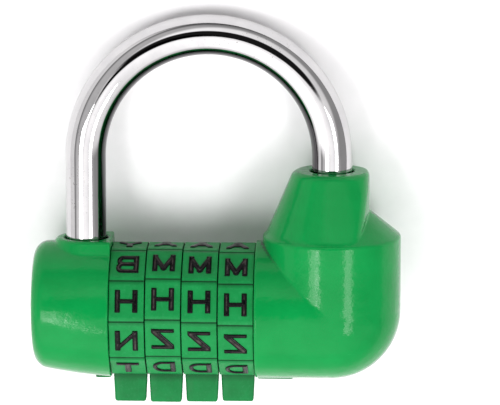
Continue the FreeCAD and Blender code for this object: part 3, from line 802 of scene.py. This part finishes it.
def build_letters(material):
    glyphs = {}
    low = (-LETTER_FRAME, -LETTER_FRAME, -LETTER_SINK)
    high = (LETTER_FRAME, LETTER_FRAME, LETTER_HEIGHT)
    for name in sorted(set("".join(DIAL_LETTERS)) - {"-"}):
        glyphs[name] = surface(letter_field(name), low, high, (LETTER_STEP, LETTER_STEP, LETTER_RISE_STEP))
    for number, names, play in zip(DIAL_NUMBERS, DIAL_LETTERS, DIAL_PLAY):
        dial_low, dial_high = box_mm(f"dial_{number}")
        centre_x = (dial_low.x + dial_high.x) / 2
        all_points, all_faces, all_normals, all_rubbed_sheen = [], [], [], []
        first = 0
        for place, name in enumerate(names):
            if name == "-":
                continue
            points, faces, normals = glyphs[name]
            angle = math.pi / 2 - place * FACE_STEP + play
            left = np.array((-1, 0, 0))
            up = np.array((0, math.sin(angle), math.cos(angle)))
            out = np.array((0, -math.cos(angle), math.sin(angle)))
            turn = np.stack((left, up, out))
            centre = out * DIAL_FLAT_R + np.array((centre_x, 0, 0))
            inside = -letter_distance(name, points[:, 0], points[:, 1])
            share = np.clip((inside - RUB_SHEEN_START) / RUB_SHEEN_FADE, 0, 1)
            # Lighter middle of each stroke's top: rubbed wear with a painted highlight
            all_rubbed_sheen.append(share * (points[:, 2] > LETTER_HEIGHT / 2))
            all_points.append(points @ turn + centre)
            all_normals.append(normals @ turn)
            all_faces.append(faces[:, ::-1] + first)
            first += len(points)
        piece = add_object(f"dial_{number}_raised_letters", np.concatenate(all_points),
                           np.concatenate(all_faces), np.concatenate(all_normals))
        paint_attribute(piece, "wear_and_sheen", np.concatenate(all_rubbed_sheen))
        keep(piece, f"dial_{number}_letters", f"dial_{number}", material)


# ---------------------------------------------------------------- materials

def principled(name, **sockets):
    """New material with one Principled shader, its constant sockets set."""
    made = bpy.data.materials.new(name)
    made.use_nodes = True
    shader = made.node_tree.nodes["Principled BSDF"]
    for socket, value in sockets.items():
        shader.inputs[socket.replace("_", " ")].default_value = value
    return made, made.node_tree, shader


def noise(tree, scale, detail=3.0, stretch=(1, 1, 1), roughness=0.55):
    """Noise in the piece's own metres, scale in features per metre."""
    nodes, links = tree.nodes, tree.links
    place = nodes.new("ShaderNodeTexCoord")
    mapping = nodes.new("ShaderNodeMapping")
    mapping.inputs["Scale"].default_value = stretch
    texture = nodes.new("ShaderNodeTexNoise")
    texture.inputs["Scale"].default_value = scale
    texture.inputs["Detail"].default_value = detail
    texture.inputs["Roughness"].default_value = roughness
    links.new(place.outputs["Object"], mapping.inputs["Vector"])
    links.new(mapping.outputs["Vector"], texture.inputs["Vector"])
    return texture.outputs["Fac"]


def painted(tree, name):
    """The number that paint_attribute left on the mesh."""
    node = tree.nodes.new("ShaderNodeAttribute")
    node.attribute_name = name
    return node.outputs["Fac"]


def ramp(tree, value, stops):
    node = tree.nodes.new("ShaderNodeValToRGB")
    elements = node.color_ramp.elements
    while len(elements) < len(stops):
        elements.new(0.5)
    for element, (position, colour) in zip(elements, stops):
        element.position = position
        element.color = (*colour, 1) if len(colour) == 3 else colour
    tree.links.new(value, node.inputs["Fac"])
    return node.outputs["Color"]


def spread(tree, value, low, high, start=0.3, end=0.7):
    """Value from start..end, spread over low..high."""
    node = tree.nodes.new("ShaderNodeMapRange")
    node.inputs["From Min"].default_value = start
    node.inputs["From Max"].default_value = end
    node.inputs["To Min"].default_value = low
    node.inputs["To Max"].default_value = high
    tree.links.new(value, node.inputs["Value"])
    return node.outputs["Result"]


def times(tree, a, b):
    node = tree.nodes.new("ShaderNodeMath")
    node.operation = "MULTIPLY"
    tree.links.new(a, node.inputs[0])
    if isinstance(b, (int, float)):
        node.inputs[1].default_value = b
    else:
        tree.links.new(b, node.inputs[1])
    return node.outputs["Value"]


def blend_colour(tree, share, base, over):
    """Base colour with the over colour laid on by share."""
    node = tree.nodes.new("ShaderNodeMix")
    node.data_type = "RGBA"
    tree.links.new(share, node.inputs["Factor"])
    tree.links.new(base, node.inputs["A"])
    if isinstance(over, tuple):
        node.inputs["B"].default_value = (*over, 1)
    else:
        tree.links.new(over, node.inputs["B"])
    return node.outputs["Result"]


def bump(tree, shader, layers):
    """Heights in mm laid over one another, as (noise output, height)."""
    previous = None
    for value, height in layers:
        node = tree.nodes.new("ShaderNodeBump")
        node.inputs["Distance"].default_value = height * MM
        tree.links.new(value, node.inputs["Height"])
        if previous is not None:
            tree.links.new(previous, node.inputs["Normal"])
        previous = node.outputs["Normal"]
    tree.links.new(previous, shader.inputs["Normal"])


def casting_paint():
    """Thick gloss paint: slight orange peel, hairline scratches, painted shade in the corners, the leg bore and
    under the index bars, and lighter edges that are partly wear and partly painted highlight.
    """
    made, tree, shader = principled("casting_green", Specular_IOR_Level=0.14)
    cloud = noise(tree, 160, 4)
    colour = ramp(tree, cloud, [(0.3, (0.002, 0.206, 0.041)), (0.7, (0.003, 0.236, 0.049))])
    # Lighter edges, in patches: partly wear, partly a painted highlight
    wear_and_sheen_patches = spread(tree, noise(tree, 700, 5, roughness=0.7), 0.0, 0.5, 0.45, 0.7)
    colour = blend_colour(tree, times(tree, painted(tree, "wear_and_sheen"), wear_and_sheen_patches), colour, (0.03, 0.38, 0.11))
    hairs = spread(tree, noise(tree, 260, 2, stretch=(1, 1, 14)), 0.0, 0.22, 0.73, 0.78)
    colour = blend_colour(tree, hairs, colour, (0.05, 0.40, 0.14))
    specks = spread(tree, noise(tree, 1500, 2), 0.0, 0.3, 0.76, 0.8)
    colour = blend_colour(tree, specks, colour, (0.1, 0.42, 0.18))
    # Painted shade: near-black green where the mesh carries shade
    shade_share = spread(tree, painted(tree, "shade_and_grime"), 0.0, 0.85, 0.03, 0.38)
    colour = blend_colour(tree, shade_share, colour, (0.001, 0.028, 0.009))
    tree.links.new(colour, shader.inputs["Base Color"])
    tree.links.new(spread(tree, noise(tree, 900, 5), 0.1, 0.2), shader.inputs["Roughness"])
    bump(tree, shader, [
        (noise(tree, 240, 2), 0.02), (noise(tree, 600, 2), 0.06), (noise(tree, 2400, 3), 0.0015)])
    return made


def dial_paint():
    """Satin paint on the dials, with painted shade in the grooves and beside them, along the sides, in the bore
    and at the tabs' roots, and the tabs painted a little darker all over.
    """
    made, tree, shader = principled("dial_green", Specular_IOR_Level=0.13)
    cloud = noise(tree, 350, 5)
    colour = ramp(tree, cloud, [(0.3, (0.003, 0.175, 0.038)), (0.7, (0.005, 0.225, 0.052))])
    dust = spread(tree, noise(tree, 1800, 5, roughness=0.7), 0.0, 0.35, 0.52, 0.75)
    colour = blend_colour(tree, dust, colour, (0.04, 0.28, 0.11))
    # Painted shade: near-black green where the mesh carries shade
    shade_share = spread(tree, painted(tree, "shade_and_grime"), 0.0, 0.92, 0.05, 0.9)
    colour = blend_colour(tree, shade_share, colour, (0.001, 0.018, 0.006))
    tree.links.new(colour, shader.inputs["Base Color"])
    tree.links.new(spread(tree, noise(tree, 1400, 5), 0.34, 0.52), shader.inputs["Roughness"])
    bump(tree, shader, [(noise(tree, 800, 3), 0.006), (noise(tree, 4000, 3), 0.001)])
    return made


def chrome_plate():
    """Bright chrome with faint draw lines along the rod, a few dull spots and a painted dark reflection along the
    inside of the bow.
    """
    made, tree, shader = principled("chrome_plate", Metallic=1.0)
    cloud = noise(tree, 300, 4)
    colour = ramp(tree, cloud, [(0.3, (0.50, 0.495, 0.50)), (0.7, (0.56, 0.555, 0.555))])
    dull = spread(tree, noise(tree, 1200, 4, roughness=0.7), 0.0, 0.5, 0.66, 0.74)
    colour = blend_colour(tree, dull, colour, (0.40, 0.38, 0.37))
    # Painted dark reflection along the inside of the bow
    inside = spread(tree, painted(tree, "inside"), 0.0, 0.93, 0.62, 0.69)
    colour = blend_colour(tree, inside, colour, (0.05, 0.045, 0.05))
    pitted = spread(tree, noise(tree, 130, 2), 0.0, 1.0, 0.5, 0.62)
    pits = times(tree, spread(tree, noise(tree, 3200, 2), 0.0, 0.6, 0.66, 0.7), pitted)
    colour = blend_colour(tree, pits, colour, (0.12, 0.10, 0.09))
    tree.links.new(colour, shader.inputs["Base Color"])
    tree.links.new(spread(tree, noise(tree, 1500, 5), 0.01, 0.06), shader.inputs["Roughness"])
    bump(tree, shader, [(noise(tree, 220, 2), 0.008), (noise(tree, 2600, 3), 0.0005)])
    return made


def black_enamel():
    """Gloss black letter paint, dusty in places, with a lighter line along the middle of each stroke's top that is
    partly rubbed wear and partly painted highlight.
    """
    made, tree, shader = principled("black_enamel", Specular_IOR_Level=0.13)
    dust = noise(tree, 2600, 5, roughness=0.72)
    stops = [(0.50, (0.001, 0.001, 0.0015)), (0.66, (0.005, 0.0045, 0.0045)), (0.8, (0.07, 0.06, 0.055))]
    # Lighter line along the stroke tops: partly rubbed wear, partly a painted highlight
    rubbed_sheen = times(tree, painted(tree, "wear_and_sheen"), spread(tree, noise(tree, 600, 4), 0.0, 0.85, 0.42, 0.62))
    colour = blend_colour(tree, rubbed_sheen, ramp(tree, dust, stops), (0.075, 0.06, 0.055))
    tree.links.new(colour, shader.inputs["Base Color"])
    tree.links.new(spread(tree, noise(tree, 1800, 4), 0.12, 0.3), shader.inputs["Roughness"])
    bump(tree, shader, [(noise(tree, 1300, 3), 0.008), (noise(tree, 5200, 3), 0.002)])
    return made


def turned_metal(name, dark, light, roughness):
    made, tree, shader = principled(name, Metallic=1.0)
    grain = noise(tree, 900, 4, stretch=(6, 1, 1))
    tree.links.new(ramp(tree, grain, [(0.3, dark), (0.7, light)]), shader.inputs["Base Color"])
    tree.links.new(spread(tree, noise(tree, 2000, 4), roughness - 0.06, roughness + 0.1),
                   shader.inputs["Roughness"])
    bump(tree, shader, [(noise(tree, 1200, 3, stretch=(8, 1, 1)), 0.003)])
    return made


def finish_cad_nodes(materials):
    """Gives every CAD node that is still shown the material of its slot."""
    slots = {part["node"]: part["material_slot"] for part in frame["record"]["subparts"]}
    for name, node in frame["nodes"].items():
        for place in node.material_slots:
            place.material = materials[slots[name]]


# ---------------------------------------------------------------- stage, lights and camera

VIEW_AZIMUTH = math.radians(2.3)
VIEW_ELEVATION = math.radians(11.0)
CAMERA_DISTANCE = 0.7
CAMERA_AIM = Vector((0.00715, 0, -0.02600))
LENS_MM = 290.0

BACK = Vector((math.sin(VIEW_AZIMUTH) * math.cos(VIEW_ELEVATION),
               -math.cos(VIEW_AZIMUTH) * math.cos(VIEW_ELEVATION), math.sin(VIEW_ELEVATION)))
RIGHT = Vector((math.cos(VIEW_AZIMUTH), math.sin(VIEW_AZIMUTH), 0))
UP = BACK.cross(RIGHT)

# The padlock lies on its back on a table: the plane that the housing's ridge and the arch touch
ARCH_RISE = ARCH_Z + ARCH_R - RIDGE_Z
TABLE_TILT = math.acos(ROD_R / math.hypot(BODY_R, ARCH_RISE)) - math.atan2(ARCH_RISE, BODY_R)
TABLE_UP = Vector((0, -math.cos(TABLE_TILT), -math.sin(TABLE_TILT)))
TABLE_GAP = 0.05
TABLE_DEPTH = BODY_R * math.cos(TABLE_TILT) + RIDGE_Z * math.sin(TABLE_TILT) + TABLE_GAP


def build_camera():
    lens = bpy.data.cameras.new("camera")
    lens.lens = LENS_MM
    camera = bpy.data.objects.new("camera", lens)
    camera.location = CAMERA_AIM + BACK * CAMERA_DISTANCE
    camera.rotation_mode = "QUATERNION"
    camera.rotation_quaternion = (-BACK).to_track_quat("-Z", "Y")
    lens.clip_start = 0.01
    bpy.context.scene.collection.objects.link(camera)
    bpy.context.scene.camera = camera


def seen_from_camera(right, up, back):
    """Direction from its parts along the camera's right, up and back."""
    return (RIGHT * right + UP * up + BACK * back).normalized()


# The room's light
UPPER_ROOM = 0.6
LOWER_ROOM = 1.84
SKIRTING_AXIS = seen_from_camera(0.32, -0.29, 0.9)
LOBE_AXIS = seen_from_camera(-0.2, -0.16, 0.966)
HALO_AXIS = seen_from_camera(0.2, 0.1, 0.97)


def build_table():
    """Pale table that the padlock lies on, seen from above; its underside is clear."""
    half = 1.5
    centre = AXIS - TABLE_UP * TABLE_DEPTH * MM
    along = Vector((1, 0, 0))
    across = TABLE_UP.cross(along)
    signs = ((-1, -1), (1, -1), (1, 1), (-1, 1))
    corners = [centre + along * a * half + across * b * half for a, b in signs]
    mesh = bpy.data.meshes.new("table")
    mesh.from_pydata(corners, [], [(0, 1, 2, 3)])
    table = bpy.data.objects.new("table", mesh)
    bpy.context.scene.collection.objects.link(table)
    made, tree, shader = principled("table_white", Roughness=0.6)
    colour = ramp(tree, noise(tree, 300, 3), [(0.3, (0.845, 0.84, 0.845)), (0.7, (0.875, 0.867, 0.875))])
    tree.links.new(colour, shader.inputs["Base Color"])
    clear = tree.nodes.new("ShaderNodeBsdfTransparent")
    side = tree.nodes.new("ShaderNodeNewGeometry")
    mix = tree.nodes.new("ShaderNodeMixShader")
    tree.links.new(side.outputs["Backfacing"], mix.inputs["Fac"])
    tree.links.new(shader.outputs["BSDF"], mix.inputs[1])
    tree.links.new(clear.outputs["BSDF"], mix.inputs[2])
    tree.links.new(mix.outputs["Shader"], tree.nodes["Material Output"].inputs["Surface"])
    mesh.materials.append(made)


LIGHT_DISTANCE = 0.7


def soft_light(name, azimuth, elevation, lean, width, height, power):
    """Area light that faces the padlock from an azimuth and elevation, leaning to its side."""
    lamp = bpy.data.lights.new(name, "AREA")
    lamp.shape = "RECTANGLE"
    lamp.size = width
    lamp.size_y = height
    lamp.energy = power
    light = bpy.data.objects.new(name, lamp)
    a = math.radians(azimuth)
    e = math.radians(elevation)
    out = Vector((math.sin(a) * math.cos(e), -math.cos(a) * math.cos(e), math.sin(e)))
    light.location = CAMERA_AIM + out * LIGHT_DISTANCE
    light.rotation_mode = "QUATERNION"
    light.rotation_quaternion = out.to_track_quat("Z", "Y") @ Quaternion((0, 0, 1), math.radians(lean))
    bpy.context.scene.collection.objects.link(light)


def towards(tree, direction):
    """How far a ray of the room's light comes from a direction, -1 to 1."""
    place = tree.nodes.new("ShaderNodeTexCoord")
    node = tree.nodes.new("ShaderNodeVectorMath")
    node.operation = "DOT_PRODUCT"
    node.inputs[1].default_value = direction
    tree.links.new(place.outputs["Generated"], node.inputs[0])
    return node.outputs["Value"]


def smooth_step(tree, value, start, end, low, high):
    node = tree.nodes.new("ShaderNodeMapRange")
    node.interpolation_type = "SMOOTHSTEP"
    node.inputs["From Min"].default_value = start
    node.inputs["From Max"].default_value = end
    node.inputs["To Min"].default_value = low
    node.inputs["To Max"].default_value = high
    tree.links.new(value, node.inputs["Value"])
    return node.outputs["Result"]


def squared(tree, value, centre, half):
    """Square of a value's distance from a centre, in halves."""
    node = tree.nodes.new("ShaderNodeMath")
    node.operation = "SUBTRACT"
    node.inputs[1].default_value = centre
    tree.links.new(value, node.inputs[0])
    scaled = times(tree, node.outputs["Value"], 1 / half)
    return times(tree, scaled, scaled)


def build_room():
    """Grey room, white below, with a dark figure straight ahead and a dark skirting round it."""
    world = bpy.data.worlds.new("room")
    bpy.context.scene.world = world
    world.use_nodes = True
    tree = world.node_tree
    sky = tree.nodes["Background"]
    upwards = towards(tree, UP)
    sideways = towards(tree, RIGHT)
    skirting = smooth_step(tree, towards(tree, SKIRTING_AXIS), 0.0, 0.5, 0, 1)
    skirting = ramp(tree, skirting, [
        (0.0, (1.5,) * 3), (0.06, (1.4,) * 3), (0.15, (0.35,) * 3), (0.25, (0.4,) * 3), (0.7, (1.0,) * 3)])
    halo = smooth_step(tree, towards(tree, HALO_AXIS), 0.76, 0.89, 1.0, 2.6)
    ceiling = smooth_step(tree, upwards, 0.65, 0.95, UPPER_ROOM, 0.3 * UPPER_ROOM)
    upper = times(tree, times(tree, skirting, halo), ceiling)
    below = smooth_step(tree, upwards, -0.42, -0.28, 1, 0)
    level = tree.nodes.new("ShaderNodeMix")
    tree.links.new(below, level.inputs["Factor"])
    tree.links.new(upper, level.inputs["A"])
    near_table = smooth_step(tree, towards(tree, BACK), 0.0, 0.35, 0.5 * LOWER_ROOM, LOWER_ROOM)
    tree.links.new(near_table, level.inputs["B"])
    up_square = squared(tree, upwards, 0.04, 0.26)
    side_square = squared(tree, sideways, 0.0, 0.42)
    reach = tree.nodes.new("ShaderNodeMath")
    reach.operation = "ADD"
    tree.links.new(up_square, reach.inputs[0])
    tree.links.new(side_square, reach.inputs[1])
    figure = smooth_step(tree, reach.outputs["Value"], 0.75, 1.25, 0.01, 1.0)
    lobe = smooth_step(tree, towards(tree, LOBE_AXIS), 0.986, 0.994, 1.0, 0.01)
    figure = times(tree, figure, lobe)
    slant = smooth_step(tree, sideways, -0.8, 0.8, 1.3, 0.72)
    sky.inputs["Color"].default_value = (1.0, 0.985, 0.995, 1)
    strength = times(tree, times(tree, level.outputs["Result"], slant), figure)
    tree.links.new(strength, sky.inputs["Strength"])
    plain = tree.nodes.new("ShaderNodeBackground")
    plain.inputs["Color"].default_value = (0.9, 0.9, 0.9, 1)
    path = tree.nodes.new("ShaderNodeLightPath")
    mix = tree.nodes.new("ShaderNodeMixShader")
    tree.links.new(path.outputs["Is Camera Ray"], mix.inputs["Fac"])
    tree.links.new(sky.outputs["Background"], mix.inputs[1])
    tree.links.new(plain.outputs["Background"], mix.inputs[2])
    tree.links.new(mix.outputs["Shader"], tree.nodes["World Output"].inputs["Surface"])


def build_lights():
    build_room()
    soft_light("window_right", 29, -14, 0, 0.15, 0.42, 1.9)
    soft_light("window_left", -26, -12, 0, 0.2, 0.24, 1.3)
    soft_light("window_low", -18, -22, 28, 0.032, 0.3, 0.38)


def main():
    bpy.context.scene.view_settings.view_transform = "Standard"
    casting = casting_paint()
    dial_green = dial_paint()
    chrome = chrome_plate()
    enamel = black_enamel()
    materials = {
        "green_casting": casting,
        "green_dial": dial_green,
        "black_letters": enamel,
        "chromed_rod": chrome,
        "steel": turned_metal("ground_steel", (0.5, 0.5, 0.51), (0.62, 0.62, 0.63), 0.3),
        "spring_steel": turned_metal("spring_wire", (0.38, 0.38, 0.4), (0.5, 0.5, 0.52), 0.28),
        "brass": turned_metal("ring_brass", (0.62, 0.42, 0.15), (0.74, 0.53, 0.22), 0.3),
    }
    finish_cad_nodes(materials)
    build_shackle(chrome)
    heel_bore = (X_HEEL, HEEL_BORE_BOTTOM_Z)
    toe_bore = (X_TOE, TOE_BORE_BOTTOM_Z)
    build_casting("housing_shell", "housing", housing_field, HOUSING_LOW, HOUSING_HIGH, heel_bore, casting)
    build_casting("end_cap_shell", "end_cap", cap_field, CAP_LOW, CAP_HIGH, toe_bore, casting)
    build_dials(dial_green)
    build_letters(enamel)
    build_camera()
    build_table()
    build_lights()


main()
